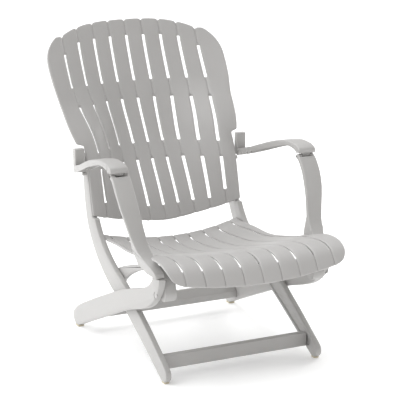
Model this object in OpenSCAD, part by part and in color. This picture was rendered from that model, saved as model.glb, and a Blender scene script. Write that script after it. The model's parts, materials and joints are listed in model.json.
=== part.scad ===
// High-back folding lounge chair, moulded in resin, with a slatted seat and back.
// The lower frame, seat and arms tilt and fold about one pivot line under the seat.
// X runs across the chair, Y from front to back, Z up. Lengths are in millimetres.

/* [Overall] */
// Clear width between the two front legs
leg_gap_w = 476; // [420:1:560]
// Height of the middle of the back's top edge
back_top_z = 931; // [840:1:1100]
// Half width of the back at its widest
back_half_w = 307; // [296:1:330]
// How far the arms' outer sides stand out past the rear legs
arm_reach = 57; // [48:1:90]

/* [Walls] */
// Thickness of a front leg
leg_t = 18; // [14:1:22]
// Thickness of a rear leg
rear_leg_t = 22; // [16:1:28]
// Thickness of the slats
slat_t = 7; // [5:0.5:9]
// Wall of the arm channels
arm_wall = 4; // [3:0.5:6]
// Thickness of an arm support
support_t = 13; // [10:1:18]
// Depth of the panel sunk into the inside of a front leg
panel_depth = 4; // [2:0.5:6]

/* [Slats] */
// Number of slats in the back and in the seat
slat_count = 10; // [8:2:12]
// Width of the open slots between the back's slats
slot_w = 8; // [5:0.5:11]
// Width of the open slots between the seat's slats
seat_slot_w = 4; // [3:0.5:8]
// Width of one back slat with its slot, at the top
back_pitch_top = 58.3; // [50:0.1:60]
// Width of one back slat with its slot, at the bottom
back_pitch_low = 51.7; // [44:0.1:53]
// Width of one seat slat with its slot, at the front edge
seat_pitch_front = 59.4; // [50:0.1:61]
// Width of one seat slat with its slot, at the rear edge
seat_pitch_rear = 52; // [44:0.1:54]

/* [Pivots] */
// Diameter of the main pivot pins
pivot_d = 14; // [10:1:18]
// Diameter of the arm hinge pins
arm_pin_d = 7; // [5:0.5:8]
// Diameter of the recline studs on the front legs
stud_d = 12; // [8:0.5:13]
// Diameter of the bolts that hold the rear legs
bolt_d = 10; // [6:1:12]
// Diameter of the screws
screw_d = 5; // [3:0.5:6]
// Clearance round a pin in its bore, on the radius
pin_play = 0.05; // [0.02:0.01:0.1]
// Side clearance between pieces that swing past each other
side_play = 2; // [1:0.5:4]
// Number of recline notches under each arm
notch_count = 5; // [3:1:6]

/* [Hidden] */

$fn = 48;
resin = [0.93, 0.93, 0.91];
cream = [0.87, 0.84, 0.74];
steel = [0.75, 0.76, 0.78];
fit = 0.3;
mid_y = 357.5;

// X places, from the middle of the chair outwards
leg_in = leg_gap_w / 2;
leg_out = leg_in + leg_t;
rear_in = leg_out + side_play;
rear_out = rear_in + rear_leg_t;
arm_out_x = rear_out + arm_reach;
rail_out = leg_in - side_play;
rail_t = 14;
rail_in = rail_out - rail_t;
lug_in = rail_out - 20;
seat_half_w = rail_out;
seat_front_half_w = rear_out + 9;
support_in_low = rear_in + 5;
support_in_top = rear_out - 2;
arm_front_in = rear_out;
arm_rear_in = rear_in + 6;
arm_rear_out = arm_rear_in + 30;

// Places in side view, [y, z], with y counted from the front feet
pivot = [360, 222];
arm_hinge = [184, 576];
bolt_at = [-1, 268];
stud_at = [553, 502];
notch_at = [553, 506];
support_foot_z = 318;
back_low_z = 335;
flange_low_z = 379;
wing_low_z = 589;

// Centre lines in side view, each point with the width of the piece there: [y, z, width]
front_leg_path = [[4, 26, 46], [124, 99, 55], [261, 175, 63], [353, 215, 66], [415, 249, 65],
    [470, 293, 63], [510, 343, 62], [528, 385, 62], [543, 445, 57], [551, 508, 50], [553, 548, 44]];
rear_leg_path = [[594, 31, 56], [545, 56, 62], [399, 119, 64], [220, 192, 62], [93, 232, 60],
    [40, 258, 54], [6, 290, 48], [-10, 326, 38]];
rail_path = [[pivot[0], pivot[1], 48], [300, 254, 32], [240, 277, 20], [190, 292, 15],
    [127, 309, 14], [60, 322, 16]];
support_path = [[0, 322, 34], [28, 336, 32], [60, 358, 26], [86, 393, 17], [101, 430, support_t],
    [118, 478, support_t], [140, 525, support_t], [166, 563, support_t],
    [arm_hinge[0], arm_hinge[1], support_t]];
support_cheek = [[102, 332], [107, 352], [106, 378], [99, 412], [84, 392], [60, 372], [20, 345],
    [10, 310], [60, 322]];
arm_path = [[184, 592, 22], [198, 598, 20], [220, 602, 17], [252, 603, 16], [295, 595, 18],
    [333, 586, 20], [377, 573, 20], [436, 553, 20], [489, 536, 20], [548, 520, 22]];

// ---- curves ----
// Point on a smooth curve through p0..p3, between p1 and p2
function blend_pt(p0, p1, p2, p3, t) = 0.5 * ((2 * p1) + (p2 - p0) * t
    + (2 * p0 - 5 * p1 + 4 * p2 - p3) * t * t + (3 * p1 - p0 - 3 * p2 + p3) * t * t * t);

// Smooth curve through the points p, with n steps between neighbours
function curve(p, n) = [for (i = [0:len(p) - 2]) for (k = [0:n - 1])
    blend_pt(p[max(i - 1, 0)], p[i], p[i + 1], p[min(i + 2, len(p) - 1)], k / n), p[len(p) - 1]];

// Smooth value at x from a table of [x, value] pairs in rising x
function slope(t, i) = let (a = max(i - 1, 0), b = min(i + 1, len(t) - 1))
    (t[b][1] - t[a][1]) / (t[b][0] - t[a][0]);
function value_at(t, x) = let (
    c = min(max(x, t[0][0]), t[len(t) - 1][0]),
    i = max([for (k = [0:len(t) - 2]) if (t[k][0] <= c) k]),
    h = t[i + 1][0] - t[i][0],
    u = (c - t[i][0]) / h)
    t[i][1] * (1 + 2 * u) * (1 - u) * (1 - u) + slope(t, i) * h * u * (1 - u) * (1 - u)
    + t[i + 1][1] * u * u * (3 - 2 * u) - slope(t, i + 1) * h * u * u * (1 - u);
function ease(a, b, x) = let (t = min(max((x - a) / (b - a), 0), 1)) t * t * (3 - 2 * t);

function plane(p) = [p[0], p[1]];
function unit(v) = v / norm(v);
function heading(c, i) = unit(plane(c[min(i + 1, len(c) - 1)]) - plane(c[max(i - 1, 0)]));
function side_pt(c, i, s) = let (h = heading(c, i)) plane(c[i]) + s * c[i][2] / 2 * [-h[1], h[0]];
// Half circle that closes a band at the end i, turned to face the direction a
function cap(c, i, a) = [for (k = [1:7]) plane(c[i])
    + c[i][2] / 2 * [cos(a + 90 - k * 22.5), sin(a + 90 - k * 22.5)]];
// Outline of a band along the centre line p, with rounded ends
function band(p, n) = let (c = curve(p, n), e = len(c) - 1, h0 = heading(c, 0), h1 = heading(c, e))
    concat([for (i = [0:e]) side_pt(c, i, 1)], cap(c, e, atan2(h1[1], h1[0])),
        [for (i = [e:-1:0]) side_pt(c, i, -1)], cap(c, 0, atan2(-h0[1], -h0[0])));

// ---- helpers ----
// Extrudes a side-view outline from x = a to x = b
module across(a, b) translate([a, 0, 0]) rotate([90, 0, 90]) linear_extrude(b - a) children();
// Round bar along X from a to b
module rod(a, b, at, d) translate([a, at[0], at[1]]) rotate([0, 90, 0]) cylinder(d = d, h = b - a);
// Round bar upwards
module post(x, y, a, b, d) translate([x, y, a]) cylinder(d = d, h = b - a);
// Places a piece in the chair's frame; side -1 is the right-hand one
module set(side = 1) translate([0, -mid_y, 0]) mirror([side < 0 ? 1 : 0, 0, 0]) children();

// Closed skin through rings of points, all rings with the same count
module skin(rings) {
    n = len(rings[0]);
    m = len(rings);
    polyhedron(points = [for (r = rings) for (p = r) p],
        faces = concat([[for (i = [0:n - 1]) i]],
            [for (r = [0:m - 2]) for (i = [0:n - 1]) each let (j = (i + 1) % n,
                a = r * n + i, b = r * n + j) [[a, a + n, b + n], [a, b + n, b]]],
            [[for (i = [n - 1:-1:0]) (m - 1) * n + i]]));
}

// ---- back shell ----
back_line = [[back_low_z, 512], [420, 558], [557, 646], [741, 752], [back_top_z, 833]];
bow = [[700, 0.00088], [741, 0.0009], [804, 0.00074], [853, 0.00062], [back_top_z, 0.00054]];
cheek = [[back_low_z, 22], [381, 35], [437, 55], [521, 88], [574, 97], [750, 99]];
wing_w = [[600, 283], [640, 291], [700, 296], [760, back_half_w - 3], [812, back_half_w]];
corner_r = 92;
corner_x = back_half_w - corner_r;
corner_z = back_top_z - 119;
back_t = slat_t + 3;
rib_w = slot_w + 4;
rib_d = back_t + 4;

// Front surface of the back at x across and z up
function back_y(x, z) = let (w = ease(750, 600, z), a = abs(x))
    value_at(back_line, z) - (1 - w) * value_at(bow, z) * a * a
    - w * value_at(cheek, z) * ease(68, 240, a);
function back_pitch(z) = back_pitch_low + (back_pitch_top - back_pitch_low) * ease(560, 750, z);
function top_z(x) = back_top_z - 27 * pow(abs(x) / corner_x, 3);
function low_z(x) = back_low_z + (flange_low_z - back_low_z) * pow(abs(x) / leg_out, 1.6);
function back_out(z) = z < wing_low_z - 3 ? leg_out + 0.5
    : z > corner_z ? corner_x + sqrt(max(corner_r * corner_r - pow(z - corner_z, 2), 1))
    : z < 640 ? min(value_at(wing_w, z), rear_out - 2 + (z - wing_low_z) * 0.3) : value_at(wing_w, z);
function back_edge(j, v, s) = let (z = low_z(0) + v * (back_top_z - low_z(0)))
    j * back_pitch(z) + s * slot_w / 2;

// Ring of an inner slat at the share v of its height; the top corners are rounded
function slat_ring(j, v) = let (
    r = 9,
    left = back_edge(j, v, 1),
    right = back_edge(j + 1, v, -1),
    near_top = max(0, (v - 0.985) / 0.015),
    tuck = r * (1 - sqrt(max(0, 1 - near_top * near_top))),
    a = left + tuck,
    b = right - tuck,
    xs = [a, a + 2, (a + b) / 2, b - 2, b],
    drop = [2.5, 0.4, 0, 0.4, 2.5])
    concat([for (i = [0:4]) let (x = xs[i], z = low_z(x) + v * (top_z(x) - low_z(x)))
        [x, back_y(x, z) + drop[i], z]],
        [for (i = [4, 2, 0]) let (x = xs[i], z = low_z(x) + v * (top_z(x) - low_z(x)))
        [x, back_y(x, z) + (i == 2 ? back_t : rib_d - (rib_d - back_t) * ease(0.85, 1, v)), z]]);
function edge_z(x, z) = z <= flange_low_z ? low_z(min(x, leg_out)) : z;
// Ring of an outer slat at the height z; its outer edge follows the outline of the shell
function edge_ring(z) = let (
    a = (slat_count / 2 - 1) * back_pitch(z) + slot_w / 2,
    b = max(back_out(z), a + 6),
    xs = [a, a + 2, a + (b - a) * 0.35, a + (b - a) * 0.7, b - 2, b],
    drop = [2.5, 0.4, 0, 0, 0.4, 2.5])
    concat([for (i = [0:5]) let (h = edge_z(xs[i], z)) [xs[i], back_y(xs[i], h) + drop[i], h]],
        [for (i = [5, 3, 2, 0]) let (h = edge_z(xs[i], z))
        [xs[i], back_y(xs[i], h) + (i == 0 ? rib_d : back_t), h]]);
// Rows of slots: the webs between them join neighbouring slats
function web_rows(j) = abs(j) == slat_count / 2 - 1
    ? [[low_z(200), 412], [512, 562], [690, 745], [851, top_z(233) - 9]]
    : [[low_z(0), 380], [512, 560], [690, 742], [880, top_z(0) - 9]];

module web(j, z0, z1) {
    h = rib_w / 2 + 1;
    x0 = j * back_pitch(z0);
    x1 = j * back_pitch(z1);
    hull() for (q = [[x0, max(z0, low_z(x0))], [x1, min(z1, top_z(x1) - 9)]])
        translate([q[0] - h, back_y(q[0], q[1]) + 3.5, q[1]]) cube([2 * h, back_t - 4, 0.5]);
}

module back_panel() color(resin) set() difference() {
    union() {
        inner = slat_count / 2 - 1;
        heights = concat([for (k = [0:20]) k * 0.985 / 20], [0.990, 0.995, 0.998, 1]);
        for (j = [-inner:inner - 1])
            skin([for (v = heights) slat_ring(j, v)]);
        outer_heights = concat([for (z = [flange_low_z:17:wing_low_z - 10]) z], [wing_low_z - 5, wing_low_z],
            [for (k = [1:12]) wing_low_z + k * (corner_z - wing_low_z) / 12],
            [for (a = [12, 24, 36, 48, 58, 66]) corner_z + corner_r * sin(a)]);
        for (s = [0, 1]) mirror([s, 0, 0])
            skin([for (z = outer_heights) edge_ring(z)]);
        for (j = [-inner:inner]) for (row = web_rows(j)) {
            mid = (row[0] + row[1]) / 2;
            web(j, row[0], mid);
            web(j, mid, row[1]);
        }
    }
    for (s = [-1, 1]) for (z = back_peg_z)
        translate([s * peg_x, back_y(peg_x, z) + peg_cover, z]) rotate([-90, 0, 0])
            cylinder(d = peg_d + 2 * fit, h = 40);
}

// ---- front legs ----
back_peg_z = [410, 465, 530];
peg_x = leg_in + leg_t / 2;
peg_d = 7;
peg_l = 20;
peg_cover = back_t / 2;
foot_h = 5;
leg_seat_gap = back_t + 2 * fit;

panel_rim = 11;
// Centre line of the sunk panel: the leg's own, drawn in by a rim all round
leg_panel_path = [[34, 42, front_leg_path[0][2] - 2 * panel_rim - 2],
    for (i = [1, 2]) [front_leg_path[i][0], front_leg_path[i][1], front_leg_path[i][2] - 2 * panel_rim]];

module front_leg() difference() {
    across(leg_in, leg_out) polygon(band(front_leg_path, 4));
    // the face that the back's flange is pegged to
    across(leg_in - 1, leg_out + 1) polygon(concat(
        [for (z = [low_z(leg_in) - 3:14:600]) [back_y(leg_in, z) + leg_seat_gap, z]],
        [[420, 600], [420, low_z(leg_in) - 3]]));
    // sunk panel on the inside
    across(leg_in - 1, leg_in + panel_depth)
        polygon(band(leg_panel_path, 3));
    // flat cut for the foot pad
    translate([leg_in - 1, -60, -20]) cube([leg_t + 2, 160, 20 + foot_h]);
    rod(leg_in - 1, leg_out - 4, pivot, pivot_d + 2 * pin_play);
    rod(leg_out - 10, leg_out + 1, stud_at, stud_d + 2 * pin_play);
    for (z = back_peg_z) translate([peg_x, back_y(peg_x, z), z])
        rotate([-90, 0, 0]) cylinder(d = peg_d + 2 * pin_play, h = peg_cover + peg_l + 1);
    for (p = front_bar_screws) rod(leg_in - 1, leg_out - 4, p, screw_d + 2 * pin_play);
}

module foot_pad(a, b, y0, y1) translate([a + 1, y0, 0]) cube([b - a - 2, y1 - y0, foot_h]);

module back_pegs() color(resin) set() for (s = [-1, 1]) for (z = back_peg_z)
    translate([s * peg_x, back_y(peg_x, z) + peg_cover + fit, z]) rotate([-90, 0, 0])
        cylinder(d = peg_d, h = peg_l);

// ---- front stretcher: an open channel between the front legs ----
front_bar = [[40, 27], [62, 67]];
bar_wall = 4;
front_bar_screws = [for (z = [36, 58]) [50, z]];

module front_stretcher() color(resin) set() difference() {
    translate([-leg_in, front_bar[0][0], front_bar[0][1]])
        cube([2 * leg_in, front_bar[1][0] - front_bar[0][0], front_bar[1][1] - front_bar[0][1]]);
    translate([-leg_in + 30, front_bar[0][0] + bar_wall, front_bar[0][1] - 1])
        cube([2 * leg_in - 60, front_bar[1][0] - front_bar[0][0] - 2 * bar_wall,
            front_bar[1][1] - front_bar[0][1] - bar_wall + 1]);
    for (s = [-1, 1]) for (p = front_bar_screws)
        rod(s * (leg_in - 10) - 11, s * (leg_in - 10) + 11, p, screw_d + 2 * pin_play);
}
module front_stretcher_screws() color(steel) set() for (s = [0, 1]) mirror([s, 0, 0])
    for (p = front_bar_screws) rod(leg_in - 18, leg_out - 5, p, screw_d);

// ---- pivots and studs ----
module pivot_pin() union() {
    rod(lug_in - 4, leg_out - 5, pivot, pivot_d);
    rod(lug_in - 4, lug_in - 0.5, pivot, pivot_d + 8);
}
module recline_stud() rod(leg_out - 9, arm_rear_in + arm_wall, stud_at, stud_d);

// ---- seat ----
// Stations along the middle of the seat, from the rear edge over the ridge to the front lip
seat_line = [[466, 297], [440, 284], [370, 283], [300, 290], [235, 301], [115, 333], [52, 351],
    [-4, 364], [-42, 367], [-77, 360], [-104, 343], [-120, 320], [-128, 298]];
// Rise and setback of each station, per square millimetre across
seat_dish = [[0.0005, 0.00045], [0.0003, 0.0006], [0, 0.0007], [0, 0.00055], [0, 0.00045],
    [0, 0.00032], [0, 0.00028], [0, 0.00016], [0.00002, 0.00012], [0.00008, 0.00012],
    [0.00013, 0.00016], [0.00017, 0.00022], [0.0002, 0.00036]];
seat_steps = 3;
seat_mid = curve([for (i = [0:12]) [seat_line[i][0], seat_line[i][1], 0]], seat_steps);
seat_curl = curve([for (d = seat_dish) [d[0], d[1], 0]], seat_steps);
last = len(seat_mid) - 1;
seat_wide = [[10, seat_front_half_w], [92, seat_half_w]];

function seat_pt(i, x) = [x, seat_mid[i][0] + seat_curl[i][0] * x * x,
    seat_mid[i][1] + seat_curl[i][1] * x * x];
// Inward direction of the seat's skin at the station i
function seat_in(i) = let (h = heading(seat_mid, i)) [0, -h[1], h[0]];
function seat_pitch(i) = seat_pitch_rear + (seat_pitch_front - seat_pitch_rear)
    * min(max((440 - seat_mid[i][0]) / 500, 0), 1);
corner_from = last - 10;
corner_cut = 46;
function seat_out(i) = let (y = seat_mid[i][0], t = max(0, (i - corner_from) / (last - corner_from)))
    max(seat_half_w + (seat_front_half_w - seat_half_w) * ease(60, 12, y)
        - corner_cut * (1 - sqrt(1 - t * t)), (slat_count / 2 - 1) * seat_pitch(i) + seat_slot_w / 2 + 5);
function seat_ring(i, a, b) = let (
    n = seat_in(i),
    xs = [a, a + 2, (a + b) / 2, b - 2, b],
    drop = [2.5, 0.4, 0, 0.4, 2.5])
    concat([for (k = [0:4]) seat_pt(i, xs[k]) + drop[k] * n],
        [for (k = [4, 2, 0]) seat_pt(i, xs[k]) + slat_t * n]);

module seat_web(j, i0, i1) {
    h = seat_slot_w / 2 + 3;
    hull() for (i = [i0, i1])
        translate(seat_pt(i, j * seat_pitch(i)) + 3 * seat_in(i)) translate([-h, -0.3, -3])
            cube([2 * h, 0.6, 3]);
}
apron_h = 27;
apron_t = 5;

module seat_panel() color(resin) set() difference() {
    union() {
        inner = slat_count / 2 - 1;
        for (j = [-inner:inner - 1])
            skin([for (i = [last:-1:0]) seat_ring(i, j * seat_pitch(i) + seat_slot_w / 2,
                (j + 1) * seat_pitch(i) - seat_slot_w / 2)]);
        for (s = [0, 1]) mirror([s, 0, 0]) {
            skin([for (i = [last:-1:0])
                seat_ring(i, inner * seat_pitch(i) + seat_slot_w / 2, seat_out(i))]);
            // side apron
            skin([for (i = [16:-1:6]) let (p = seat_pt(i, seat_half_w), q = seat_half_w,
                low = (apron_h + 10 * ease(13, 9, i)) * ease(5, 9, i) + 4)
                [[q - apron_t, p[1], p[2] - 4], [q, p[1], p[2] - 4],
                [q, p[1], p[2] - low], [q - apron_t, p[1], p[2] - low]]]);
        }
        for (j = [-inner:inner]) for (span = [[0, 2], [12, 13], [29, 32], [32, 34], [34, last]])
            seat_web(j, span[0], span[1]);
    }
    for (s = [-1, 1]) for (p = seat_screw_at)
        post(s * (seat_half_w - 10), p[0], p[1] - 20, p[1] + 30, screw_d + 2 * fit);
}

seat_screw_at = [[210, 300], [100, 325]];

module seat_rail() difference() {
    union() {
        across(rail_in, rail_out) polygon(band(rail_path, 4));
        rod(lug_in, rail_out, pivot, rail_path[0][2]);
        across(rail_in, rear_in) polygon(band([[62, 322, 15], [30, 312, 24], [8, 295, 40],
            [bolt_at[0], bolt_at[1], 44]], 4));
    }
    rod(lug_in - 1, rail_out + 1, pivot, pivot_d + 2 * pin_play);
    rod(rail_in - 1, rear_in + 1, bolt_at, bolt_d + 2 * pin_play);
    for (p = seat_screw_at) post(rail_in + 4, p[0], p[1] - 30, p[1] + 30, screw_d + 2 * pin_play);
    rod(rail_in - 1, rail_in + 9, cross_at, cross_d + 2 * pin_play);
}
cross_at = [12, 298];
cross_d = 20;
module seat_cross_rail() color(resin) set()
    rod(-rail_in - 8, rail_in + 8, cross_at, cross_d);
module seat_screws() color(steel) set() for (s = [-1, 1]) for (p = seat_screw_at)
    post(s * (rail_in + 4), p[0], p[1] - 6, p[1] + 12, screw_d);

// ---- rear legs ----
rear_bar = [[528, 38], [556, 84]];
rear_bar_screws = [for (z = [50, 66]) [541, z]];

module rear_leg() difference() {
    across(rear_in, rear_out) polygon(band(rear_leg_path, 4));
    translate([rear_in - 1, -80, support_foot_z]) cube([rear_leg_t + 2, 160, 60]);
    translate([rear_in - 1, 500, -20]) cube([rear_leg_t + 2, 160, 20 + foot_h]);
    rod(rear_in - 1, rear_out + 1, bolt_at, bolt_d + 2 * pin_play);
    rod(rear_out - 4, rear_out + 1, bolt_at, bolt_d + 10);
    post(rear_in + rear_leg_t / 2, -4, support_foot_z - 16, support_foot_z + 1, bolt_d + 2 * pin_play);
    for (p = rear_bar_screws) rod(rear_in - 1, rear_out - 6, p, screw_d + 2 * pin_play);
}
module rear_leg_bolts() color(resin) set() for (s = [0, 1]) mirror([s, 0, 0]) union() {
    rod(rail_in + 2, rear_out - 4, bolt_at, bolt_d);
    rod(rear_out - 4, rear_out - 1, bolt_at, bolt_d + 8);
}
module rear_stretcher() color(resin) set() difference() {
    across(-rear_in, rear_in) polygon([[rear_bar[0][0], rear_bar[0][1]],
        [rear_bar[1][0] - 6, rear_bar[0][1]], [rear_bar[1][0], rear_bar[1][1]],
        [rear_bar[1][0] - 10, rear_bar[1][1]], [rear_bar[0][0], rear_bar[0][1] + 22]]);
    for (s = [-1, 1]) for (p = rear_bar_screws)
        rod(s * (rear_in - 10) - 11, s * (rear_in - 10) + 11, p, screw_d + 2 * pin_play);
}
module rear_stretcher_screws() color(steel) set() for (s = [0, 1]) mirror([s, 0, 0])
    for (p = rear_bar_screws) rod(rear_in - 18, rear_out - 7, p, screw_d);

// ---- arm supports ----
knuckle_d = 14;
knuckle_w = 22;
support_out_top = arm_out_x - 3;
hinge_mid = (support_in_top + support_out_top) / 2;

module arm_support() difference() {
    intersection() {
        union() {
            across(rear_in, arm_out_x + 10) polygon(band(support_path, 4));
            across(rear_in, arm_out_x + 10) polygon(support_cheek);
        }
        // outline of the blade from the front
        translate([0, 200, 0]) rotate([90, 0, 0]) linear_extrude(260) polygon([
            [rear_in, support_foot_z], [rear_out + 4, support_foot_z], [rear_out + 10, 345],
            [rear_out + 24, 380], [support_out_top - 16, 440], [support_out_top - 4, 495],
            [support_out_top, 535], [support_out_top, 600], [support_in_top, 600],
            [support_in_top - 1, 535], [support_in_top - 6, 470], [support_in_top - 12, 420],
            [support_in_low - 2, 375], [rear_in, 345]]);
    }
    translate([0, -100, support_foot_z - 60]) cube([400, 300, 60]);
    // room for the arm's cross knuckle
    rod(hinge_mid - knuckle_w / 2 - 1, hinge_mid + knuckle_w / 2 + 1, arm_hinge, knuckle_d + 6);
    rod(support_in_top - 1, arm_out_x + 11, arm_hinge, arm_pin_d + 2 * pin_play);
    post(rear_in + rear_leg_t / 2, -4, support_foot_z - 1, support_foot_z + 12, bolt_d + 2 * pin_play);
}
module support_dowels() color(resin) set() for (s = [0, 1]) mirror([s, 0, 0])
    post(rear_in + rear_leg_t / 2, -4, support_foot_z - 15, support_foot_z + 11, bolt_d);

// ---- arms ----
arm_plan_in = curve([[arm_front_in, 160, 0], [arm_front_in + 2, 240, 0], [arm_front_in + 2, 360, 0],
    [arm_rear_in, 560, 0]], 4);
arm_plan_out = curve([[arm_rear_out, 560, 0], [arm_out_x - 14, 400, 0], [arm_out_x - 1, 260, 0],
    [arm_out_x, 160, 0]], 4);
notch_pitch = 22;
notch_r = stud_d / 2 + 1.5;

// Lowest front corner of the upturned block at the rear end of an arm, and its thickness
arm_block = [543, 516];
arm_block_t = 18;
wing_gap = 7;

module plan_cut(inset) translate([0, 0, 400]) linear_extrude(300) polygon(concat(
    [for (p = arm_plan_in) [p[0] + inset, p[1]]], [for (p = arm_plan_out) [p[0] - inset, p[1]]]));
function shifted(p, dy, dz) = [for (q = p) [q[0] + dy, q[1] + dz, q[2]]];

module arm() difference() {
    union() {
        intersection() {
            across(rear_in, arm_out_x + 10) polygon(band(arm_path, 4));
            plan_cut(0);
        }
        // knuckle that the hinge pin runs in
        rod(hinge_mid - knuckle_w / 2, hinge_mid + knuckle_w / 2, arm_hinge, knuckle_d);
        translate([hinge_mid - knuckle_w / 2, arm_hinge[0] - 5, arm_hinge[1]]) cube([knuckle_w, 10, 12]);
        // upturned end block
        translate([arm_rear_in, arm_block[0], arm_block[1]])
            cube([arm_rear_out - arm_rear_in, arm_block_t, wing_low_z - wing_gap - arm_block[1]]);
    }
    // hollow under the arm, behind the hinge
    intersection() {
        across(rear_in, arm_out_x + 10) polygon(band(shifted([for (i = [3:9]) arm_path[i]], 0, -6), 4));
        plan_cut(arm_wall);
        translate([0, 262, 400]) cube([400, 270, 300]);
    }
    // recline notches
    for (k = [0:notch_count - 1]) let (y = notch_at[0] - k * notch_pitch)
        rod(arm_rear_in - 20, arm_rear_in + arm_wall + 12,
            [y, notch_at[1] + k * notch_pitch * 0.3], 2 * notch_r);
    // the front roll clears the knuckles of the support
    for (span = [[rear_in, hinge_mid - knuckle_w / 2], [hinge_mid + knuckle_w / 2, arm_out_x + 1]])
        rod(span[0], span[1], arm_hinge, support_t + 9.5);
    rod(rear_in, arm_out_x + 1, arm_hinge, arm_pin_d + 2 * pin_play);
}
module arm_pin() rod(support_in_top + 2, support_out_top - 2, arm_hinge, arm_pin_d);

// ---- assembly ----
color(resin) set(1) front_leg();  // left_front_leg
color(resin) set(-1) front_leg();  // right_front_leg
color(cream) set(1) foot_pad(leg_in, leg_out, -5, 13);  // left_front_foot
color(cream) set(-1) foot_pad(leg_in, leg_out, -5, 13);  // right_front_foot
back_panel();
back_pegs();
front_stretcher();
front_stretcher_screws();
color(steel) set(1) pivot_pin();  // left_pivot_pin
color(steel) set(-1) pivot_pin();  // right_pivot_pin
color(resin) set(1) recline_stud();  // left_recline_stud
color(resin) set(-1) recline_stud();  // right_recline_stud
seat_panel();
seat_screws();
color(resin) set(1) seat_rail();  // left_seat_rail
color(resin) set(-1) seat_rail();  // right_seat_rail
seat_cross_rail();
color(resin) set(1) rear_leg();  // left_rear_leg
color(resin) set(-1) rear_leg();  // right_rear_leg
color(cream) set(1) foot_pad(rear_in, rear_out, 582, 606);  // left_rear_foot
color(cream) set(-1) foot_pad(rear_in, rear_out, 582, 606);  // right_rear_foot
rear_leg_bolts();
rear_stretcher();
rear_stretcher_screws();
color(resin) set(1) arm_support();  // left_arm_support
color(resin) set(-1) arm_support();  // right_arm_support
support_dowels();
color(resin) set(1) arm();  // left_arm
color(resin) set(-1) arm();  // right_arm
color(steel) set(1) arm_pin();  // left_arm_pin
color(steel) set(-1) arm_pin();  // right_arm_pin
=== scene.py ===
import json
from math import radians, sqrt
import bpy
import bmesh
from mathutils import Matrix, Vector


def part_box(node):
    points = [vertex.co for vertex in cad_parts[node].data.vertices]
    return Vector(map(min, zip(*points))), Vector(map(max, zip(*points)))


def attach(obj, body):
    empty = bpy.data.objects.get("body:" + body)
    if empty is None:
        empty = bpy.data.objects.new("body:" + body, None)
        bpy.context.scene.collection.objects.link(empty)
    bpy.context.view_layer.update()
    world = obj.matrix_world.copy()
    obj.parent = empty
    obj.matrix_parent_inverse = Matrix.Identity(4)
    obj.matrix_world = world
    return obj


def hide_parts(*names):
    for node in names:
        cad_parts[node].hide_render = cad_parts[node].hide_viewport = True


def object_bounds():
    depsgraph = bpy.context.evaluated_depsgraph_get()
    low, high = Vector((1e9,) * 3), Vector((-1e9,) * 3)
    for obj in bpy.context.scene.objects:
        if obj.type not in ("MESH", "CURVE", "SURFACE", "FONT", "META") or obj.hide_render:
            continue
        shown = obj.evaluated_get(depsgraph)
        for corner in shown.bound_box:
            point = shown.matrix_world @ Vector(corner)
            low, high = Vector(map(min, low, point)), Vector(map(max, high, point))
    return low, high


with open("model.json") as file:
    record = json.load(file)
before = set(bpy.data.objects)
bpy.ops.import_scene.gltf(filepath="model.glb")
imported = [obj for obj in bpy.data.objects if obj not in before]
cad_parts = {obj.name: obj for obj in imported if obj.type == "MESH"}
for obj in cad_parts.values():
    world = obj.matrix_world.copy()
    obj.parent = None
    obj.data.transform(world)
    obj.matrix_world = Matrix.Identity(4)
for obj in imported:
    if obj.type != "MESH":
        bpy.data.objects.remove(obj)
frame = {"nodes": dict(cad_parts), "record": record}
cad_low, cad_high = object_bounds()
nodes = frame["nodes"]
body_of = {name: body for body, names in frame["record"]["behaviour"]["bodies"].items()
           for name in names}

# The camera stands in front of the chair and to its right, a little above it, and looks down
# through a long lens, so that the chair fills the frame with little perspective.
camera_turn = radians(-26.46)
camera_dip = radians(14.05)
bpy.ops.object.select_all(action="DESELECT")
bpy.ops.object.camera_add(location=(-2.080, -4.2572, 1.6184),
                          rotation=(radians(90) - camera_dip, 0, camera_turn))
camera = bpy.context.object
camera.data.sensor_width = 36
camera.data.lens = 144.05
bpy.context.scene.camera = camera


# The back is one injection moulding in white polypropylene: ten slats joined at four levels.
# Its wings curve forward, the slots between the slats have round ends, and where two slats
# join only a fine groove is left. Its lower flanges are pegged to the front legs.
def moulded_resin(name, tint, rough, grain):
    mat = bpy.data.materials.new(name)
    mat.use_nodes = True
    tree = mat.node_tree
    shader = tree.nodes["Principled BSDF"]
    shader.inputs["Specular IOR Level"].default_value = 0.45
    place = tree.nodes.new("ShaderNodeTexCoord")
    flow = tree.nodes.new("ShaderNodeTexNoise")
    flow.inputs["Scale"].default_value = 7.0
    flow.inputs["Detail"].default_value = 4.0
    flow.inputs["Distortion"].default_value = 0.6
    tone = tree.nodes.new("ShaderNodeValToRGB")
    tone.color_ramp.elements[0].position = 0.3
    tone.color_ramp.elements[0].color = (*[c * 0.965 for c in tint], 1)
    tone.color_ramp.elements[1].position = 0.7
    tone.color_ramp.elements[1].color = (*tint, 1)
    sheen = tree.nodes.new("ShaderNodeMapRange")
    sheen.inputs["To Min"].default_value = rough - 0.05
    sheen.inputs["To Max"].default_value = rough + 0.06
    fine = tree.nodes.new("ShaderNodeTexNoise")
    fine.inputs["Scale"].default_value = 420.0
    fine.inputs["Detail"].default_value = 2.0
    bump = tree.nodes.new("ShaderNodeBump")
    bump.inputs["Strength"].default_value = grain
    bump.inputs["Distance"].default_value = 0.00012
    link = tree.links.new
    link(place.outputs["Object"], flow.inputs["Vector"])
    link(place.outputs["Object"], fine.inputs["Vector"])
    link(flow.outputs["Fac"], tone.inputs["Fac"])
    link(tone.outputs["Color"], shader.inputs["Base Color"])
    link(flow.outputs["Fac"], sheen.inputs["Value"])
    link(sheen.outputs["Result"], shader.inputs["Roughness"])
    link(fine.outputs["Fac"], bump.inputs["Height"])
    link(bump.outputs["Normal"], shader.inputs["Normal"])
    return mat


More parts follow.
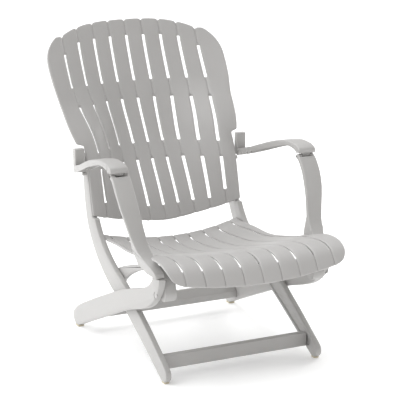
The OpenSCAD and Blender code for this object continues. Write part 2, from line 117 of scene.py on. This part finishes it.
def ease(a, b, x):
    t = min(max((x - a) / (b - a), 0), 1)
    return t * t * (3 - 2 * t)


def along(table, x):
    x = min(max(x, table[0][0]), table[-1][0])
    i = max(k for k in range(len(table) - 1) if table[k][0] <= x)

    def slope(k):
        a, b = table[max(k - 1, 0)], table[min(k + 1, len(table) - 1)]
        return (b[1] - a[1]) / (b[0] - a[0])

    (x0, y0), (x1, y1) = table[i], table[i + 1]
    h = x1 - x0
    u = (x - x0) / h
    return (y0 * (1 + 2 * u) * (1 - u) ** 2 + slope(i) * h * u * (1 - u) ** 2
            + y1 * u * u * (3 - 2 * u) - slope(i + 1) * h * u * u * (1 - u))


def slat_row(pitch, gaps, outside):
    # Places across one row, left to right, each with how far it lies below the slats' faces.
    places = []
    for s in range(-5, 5):
        a = -outside if s == -5 else s * pitch + gaps[s]
        b = outside if s == 4 else (s + 1) * pitch - gaps[s + 1]
        w = b - a
        inner = [0.5] if -5 < s < 4 else [0.36, 0.68]
        places += [(a, edge_drop), (a + edge_in, crown_drop)] + [(a + w * t, 0) for t in inner]
        places += [(b - edge_in, crown_drop), (b, edge_drop)]
        if s < 4:
            middle = (s + 1) * pitch
            g = gaps[s + 1] * groove_floor
            places += [(middle - g, groove_depth), (middle + g, groove_depth)]
    return places


def slot_of(column):
    # The slot that a column of faces belongs to, or None on a slat.
    first = edge_columns
    for j in range(-4, 5):
        if first <= column < first + slot_columns:
            return j
        first += slot_columns + slat_columns
    return None


def slatted_shell(name, rows, is_open, spot, wall, rib, ribs_at):
    # A flat grid with its slots opened, moved to its curved places, then given its wall.
    columns = 2 * edge_columns + 9 * slot_columns + 8 * slat_columns
    bpy.ops.object.select_all(action="DESELECT")
    bpy.ops.mesh.primitive_grid_add(x_subdivisions=columns, y_subdivisions=rows, size=1)
    shell = bpy.context.object
    shell.name = name
    bpy.ops.object.mode_set(mode="EDIT")
    bpy.ops.mesh.select_mode(type="FACE")
    mesh = bmesh.from_edit_mesh(shell.data)
    for face in mesh.faces:
        at = face.calc_center_median()
        face.select_set(is_open(int((at.x + 0.5) * columns), int((at.y + 0.5) * rows)))
    bmesh.update_edit_mesh(shell.data)
    bpy.ops.mesh.delete(type="FACE")
    bpy.ops.object.mode_set(mode="OBJECT")
    depth = shell.vertex_groups.new(name="wall")
    for v in shell.data.vertices:
        column, row = round((v.co.x + 0.5) * columns), round((v.co.y + 0.5) * rows)
        v.co = spot(column, row)
        depth.add([v.index], ribs_at(column, row), "REPLACE")
    skin = shell.modifiers.new("wall", "SOLIDIFY")
    skin.thickness = rib
    skin.offset = -1
    skin.use_even_offset = True
    skin.use_quality_normals = True
    skin.vertex_group = "wall"
    skin.thickness_vertex_group = wall / rib
    bpy.ops.object.modifier_apply(modifier="wall")
    round_off = shell.modifiers.new("round", "SUBSURF")
    round_off.levels = round_off.render_levels = 1
    bpy.ops.object.modifier_apply(modifier="round")
    shell.vertex_groups.clear()
    bpy.ops.object.shade_smooth()
    return shell


mm = 0.001
edge_columns, slat_columns, slot_columns = 5, 4, 3
edge_in = 3.2
edge_drop = 1.4
crown_drop = 0.2
groove_depth = 4.2
groove_floor = 0.36
slot_half = 3.4
groove_half = 2.7
chair_mid = 357.5
back_low, back_top = 335, cad_high.z / mm
leg_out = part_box("left_front_leg")[1].x / mm
wing_low = 589
wing_out = 307
corner_r = 92
corner_x = wing_out - corner_r
corner_z = back_top - 119
back_pitch_low, back_pitch_top = 51.7, 58.3
side_rise, side_fall = 44, 27
outline_drop = 36
back_line = [(back_low, 512), (420, 558), (557, 646), (741, 752), (back_top, 833)]
back_bow = [(700, 0.00088), (741, 0.0009), (804, 0.00074), (853, 0.00062), (back_top, 0.00054)]
back_cheek = [(back_low, 22), (381, 35), (437, 55), (521, 88), (574, 97), (750, 99)]
wing_line = [(600, 283), (640, 291), (700, 296), (760, wing_out - 3), (812, wing_out)]
back_rows = [335, 339, 347, 360, 373, 379, 385, 398, 406, 412, 418, 436, 462, 488, 505, 512, 519,
             536, 553, 561, 568, 580, 586, 589.5, 593, 606, 630, 658, 683, 690, 697, 716, 736, 743,
             750, 775, 800, 824, 845, 851, 857, 873, 880, 887, 904, 918, 926, 931]


def back_face(x, z):
    low = ease(750, 600, z)
    return (along(back_line, z) - (1 - low) * along(back_bow, z) * x * x
            - low * along(back_cheek, z) * ease(68, 240, abs(x)))


def back_side(z):
    if z < wing_low - 1:
        return leg_out + 0.5
    if z > corner_z:
        return corner_x + sqrt(max(corner_r ** 2 - (z - corner_z) ** 2, 1))
    if z < 640:
        return min(along(wing_line, z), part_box("left_rear_leg")[1].x / mm - 2 + (z - wing_low) * 0.3)
    return along(wing_line, z)


def back_open(j, z0, z1):
    spans = ([(412, 512), (561, 690), (743, 851)] if abs(j) == 4
             else [(379, 512), (561, 690), (743, 880)])
    return any(a <= z0 and z1 <= b for a, b in spans)


def back_spot(column, row):
    z = back_rows[row]
    pitch = back_pitch_low + (back_pitch_top - back_pitch_low) * ease(560, 750, z)
    gaps = {j: slot_half if back_open(j, z, z) else groove_half for j in range(-4, 5)}
    lift = outline_drop * ease(800, back_top, z)
    x, drop = slat_row(pitch, gaps, back_side(z - lift))[column]
    side = min(abs(x), 237)
    up = (side_rise * (min(abs(x), leg_out) / leg_out) ** 1.6 * (1 - ease(back_low, 412, z))
          - side_fall * (side / corner_x) ** 3 * ease(800, back_top, z))
    if drop == groove_depth:
        up -= 6 * ease(895, back_top, z)
    if drop == edge_drop and abs(x) < 240:
        up -= 2.5 * ease(895, back_top, z)
    return Vector((x, back_face(x, z + up) + drop - chair_mid, z + up)) * mm


def back_ribs(column, row):
    j = slot_of(column) if slot_of(column) is not None else slot_of(column - 1)
    return 0.0 if j is None else 1 - ease(820, back_top, back_rows[row])


shell_resin = moulded_resin("shell_resin", (0.455, 0.446, 0.438), 0.37, 0.12)
back_shell = slatted_shell(
    "back_shell", len(back_rows) - 1,
    lambda column, row: slot_of(column) is not None
    and back_open(slot_of(column), back_rows[row], back_rows[row + 1]),
    back_spot, 8.4 * mm, 14 * mm, back_ribs)
back_shell.data.materials.append(shell_resin)
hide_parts("back_panel")
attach(back_shell, "back_frame")


# The seat is a second moulding of ten slats in the same resin. It dips behind a low ridge, rolls
# over at the front lip, and has a thin apron on each side. Screws hold it down to the two rails.
def smooth_line(points, steps):
    line = []
    for i in range(len(points) - 1):
        p = [points[max(i - 1, 0)], points[i], points[i + 1], points[min(i + 2, len(points) - 1)]]
        for k in range(steps):
            t = k / steps
            line.append([0.5 * (2 * b + (c - a) * t + (2 * a - 5 * b + 4 * c - d) * t * t
                                + (3 * b - a - 3 * c + d) * t ** 3) for a, b, c, d in zip(*p)])
    return line + [list(points[-1])]


seat_half = leg_out - 20
lip_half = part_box("left_rear_leg")[1].x / mm + 9
seat_line = smooth_line([
    (466, 297, 0.0005, 0.00045), (440, 284, 0.0003, 0.0006), (370, 283, 0, 0.0007),
    (300, 290, 0, 0.00055), (235, 301, 0, 0.00045), (115, 333, 0, 0.00032), (52, 351, 0, 0.00028),
    (-4, 364, 0, 0.00016), (-42, 367, 0.00002, 0.00012), (-77, 360, 0.00008, 0.00012),
    (-104, 343, 0.00013, 0.00016), (-120, 320, 0.00017, 0.00022), (-128, 298, 0.0002, 0.00036)], 3)
lip = len(seat_line) - 1
seat_spans = [(2, 12), (13, 29)]
seat_gap = 1.25
seat_pitch_rear, seat_pitch_gain = 52, 7.4
corner_rows, corner_cut = 10, 46


def seat_side(i):
    y = seat_line[i][0]
    t = max(0, (i - (lip - corner_rows)) / corner_rows)
    return max(seat_half + (lip_half - seat_half) * ease(60, 12, y)
               - corner_cut * (1 - sqrt(1 - t * t)),
               4 * seat_pitch(i) + slot_half + 5)


def seat_pitch(i):
    return seat_pitch_rear + seat_pitch_gain * min(max((440 - seat_line[i][0]) / 500, 0), 1)


def seat_open(i, j):
    return any(a <= min(i, j) and max(i, j) <= b for a, b in seat_spans)


def seat_spot(column, row):
    i = lip - row
    gap = seat_gap
    x, drop = slat_row(seat_pitch(i), {j: gap for j in range(-4, 5)}, seat_side(i))[column]
    before, after = seat_line[min(i + 1, lip)], seat_line[max(i - 1, 0)]
    run = Vector((0, after[0] - before[0], after[1] - before[1])).normalized()
    down = Vector((0, run.z, -run.y))
    y, z, back, rise = seat_line[i]
    return (Vector((x, y + back * x * x - chair_mid, z + rise * x * x)) + drop * down) * mm


seat_shell = slatted_shell(
    "seat_shell", lip,
    lambda column, row: slot_of(column) is not None and seat_open(lip - row, lip - row - 1),
    seat_spot, 6.6 * mm, 7 * mm, lambda column, row: 0.0)
seat_shell.data.materials.append(shell_resin)
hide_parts("seat_panel")
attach(seat_shell, "seat_unit")


# The front legs are thick curved mouldings that run from the floor up behind the back shell.
# Each has its rims rounded over in the mould and a sunk panel on its inner side.
shortest_rim = 2.5 * mm
rim_angle = radians(38)


def rounded(name, source, radius, steps, mat, ahead_of=1.0):
    bpy.ops.object.select_all(action="DESELECT")
    piece = bpy.data.objects.new(name, nodes[source].data.copy())
    bpy.context.scene.collection.objects.link(piece)
    piece.select_set(True)
    bpy.context.view_layer.objects.active = piece
    bpy.ops.mesh.customdata_custom_splitnormals_clear()
    bpy.ops.object.mode_set(mode="EDIT")
    bpy.ops.mesh.select_mode(type="EDGE")
    bpy.ops.mesh.select_all(action="SELECT")
    bpy.ops.mesh.remove_doubles(threshold=0.00002)
    bpy.ops.mesh.dissolve_limited(angle_limit=radians(0.7))
    bpy.ops.mesh.select_all(action="DESELECT")
    mesh = bmesh.from_edit_mesh(piece.data)
    for edge in mesh.edges:
        middle = (edge.verts[0].co + edge.verts[1].co) / 2
        if len(edge.link_faces) == 2 and edge.calc_length() > shortest_rim and middle.y < ahead_of:
            edge.select_set(edge.calc_face_angle(0) > rim_angle)
    bmesh.update_edit_mesh(piece.data)
    bpy.ops.mesh.bevel(offset=radius * mm, segments=steps, profile=0.5, clamp_overlap=False)
    bpy.ops.object.mode_set(mode="OBJECT")
    piece.data.materials.clear()
    piece.data.materials.append(mat)
    bpy.ops.object.shade_smooth_by_angle(angle=radians(32))
    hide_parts(source)
    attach(piece, body_of[source])
    return piece


frame_resin = moulded_resin("frame_resin", (0.455, 0.447, 0.437), 0.36, 0.08)
for side in ("left", "right"):
    rounded(side + "_front_leg_moulding", side + "_front_leg", 3.0, 3, frame_resin)

# The rear legs cross outside the front legs and sweep down and back from a hooked front end,
# where a bolt holds each one to its rail. Moulded in the same resin, with softer rims.
for side in ("left", "right"):
    rounded(side + "_rear_leg_moulding", side + "_rear_leg", 3.5, 3, frame_resin)

# The two rails under the seat carry it and turn on the main pins that run through the front
# legs. They are moulded with lugs at the pins and hooks at the rear legs' bolts.
for side in ("left", "right"):
    rounded(side + "_seat_rail_moulding", side + "_seat_rail", 1.5, 2, frame_resin)

# The stretchers tie each pair of legs near the floor. They are resin channels and bars, and a
# pair of screws through each leg holds them.
rounded("front_stretcher_moulding", "front_stretcher", 1.5, 3, frame_resin)
rounded("rear_stretcher_moulding", "rear_stretcher", 1.5, 3, frame_resin)

# The arm supports are curved blades dowelled to the tops of the rear legs, forked at the top for
# the arms' hinge pins. The arms are inverted channels with recline notches underneath. The rim
# rounding of an arm stops ahead of the notches, which are cut sharp to hold the stud.
arm_notch_y = 0.10
for side in ("left", "right"):
    rounded(side + "_arm_support_moulding", side + "_arm_support", 3.0, 3, frame_resin)
    rounded(side + "_arm_moulding", side + "_arm", 3.0, 3, frame_resin, arm_notch_y)

# The four foot pads are push-on caps in a softer, duller cream plastic, under the ends of the
# legs. They keep the resin off the ground, and their lower rims are eased.
pad_cream = moulded_resin("pad_cream", (0.62, 0.56, 0.42), 0.55, 0.3)
for end in ("front", "rear"):
    for side in ("left", "right"):
        rounded(f"{side}_{end}_foot_pad", f"{side}_{end}_foot", 1.2, 2, pad_cream)

# The pins and screws are zinc-plated steel with fine turning marks; the pegs, dowels, bolts, recline
# studs and cross rail are turned or moulded in the frame's own resin and need no other shape.
zinc = bpy.data.materials.new("zinc_steel")
zinc.use_nodes = True
zinc_tree = zinc.node_tree
zinc_shader = zinc_tree.nodes["Principled BSDF"]
zinc_shader.inputs["Metallic"].default_value = 1.0
zinc_place = zinc_tree.nodes.new("ShaderNodeTexCoord")
turning = zinc_tree.nodes.new("ShaderNodeTexNoise")
turning.inputs["Scale"].default_value = 260.0
zinc_tone = zinc_tree.nodes.new("ShaderNodeValToRGB")
zinc_tone.color_ramp.elements[0].color = (0.42, 0.43, 0.45, 1)
zinc_tone.color_ramp.elements[1].color = (0.62, 0.63, 0.64, 1)
zinc_sheen = zinc_tree.nodes.new("ShaderNodeMapRange")
zinc_sheen.inputs["To Min"].default_value = 0.3
zinc_sheen.inputs["To Max"].default_value = 0.5
zinc_tree.links.new(zinc_place.outputs["Object"], turning.inputs["Vector"])
zinc_tree.links.new(turning.outputs["Fac"], zinc_tone.inputs["Fac"])
zinc_tree.links.new(turning.outputs["Fac"], zinc_sheen.inputs["Value"])
zinc_tree.links.new(zinc_tone.outputs["Color"], zinc_shader.inputs["Base Color"])
zinc_tree.links.new(zinc_sheen.outputs["Result"], zinc_shader.inputs["Roughness"])
for name, node in nodes.items():
    if not node.hide_render:
        node.data.materials.clear()
        node.data.materials.append(zinc if "screws" in name or name.endswith("_pin") else frame_resin)

# A plain white paper floor that glows a little, as an evenly lit sweep does, an even pale
# surround, one very soft key light from behind and to the chair's right, and two softboxes.
bpy.ops.object.select_all(action="DESELECT")
bpy.ops.mesh.primitive_plane_add(size=30, location=(0, 0, 0))
floor = bpy.context.object
floor.name = "floor"
paper = bpy.data.materials.new("floor_paper")
paper.use_nodes = True
paper_shader = paper.node_tree.nodes["Principled BSDF"]
paper_shader.inputs["Base Color"].default_value = (0.93, 0.93, 0.925, 1)
paper_shader.inputs["Roughness"].default_value = 0.9
paper_shader.inputs["Emission Color"].default_value = (0.97, 0.98, 1, 1)
paper_shader.inputs["Emission Strength"].default_value = 0.17
floor.data.materials.append(paper)

world = bpy.data.worlds.new("studio")
bpy.context.scene.world = world
world.use_nodes = True
surround = world.node_tree.nodes["Background"]
surround.inputs["Color"].default_value = (1.0, 0.985, 0.97, 1)
surround.inputs["Strength"].default_value = 0.56

bpy.ops.object.light_add(type="SUN", location=(-2.0, 1.8, 3.0))
key = bpy.context.object
key.name = "key_light"
key.data.energy = 2.7
key.data.angle = radians(95)
key.data.color = (0.97, 0.985, 1.0)
key.rotation_euler = Vector((0.42, -0.36, -0.83)).to_track_quat("-Z", "Y").to_euler()
for name, place, wide, high, power in (("right_softbox", (2.6, 0.9, 1.1), 0.8, 1.5, 34),
                                      ("left_softbox", (-3.0, 0.5, 1.3), 2.2, 2.2, 12)):
    bpy.ops.object.light_add(type="AREA", location=place)
    softbox = bpy.context.object
    softbox.name = name
    softbox.data.shape = "RECTANGLE"
    softbox.data.size = wide
    softbox.data.size_y = high
    softbox.data.energy = power
    aim = Vector((0, 0, 0.55)) - Vector(place)
    softbox.rotation_euler = aim.to_track_quat("-Z", "Y").to_euler()
bpy.context.scene.view_settings.view_transform = "Standard"
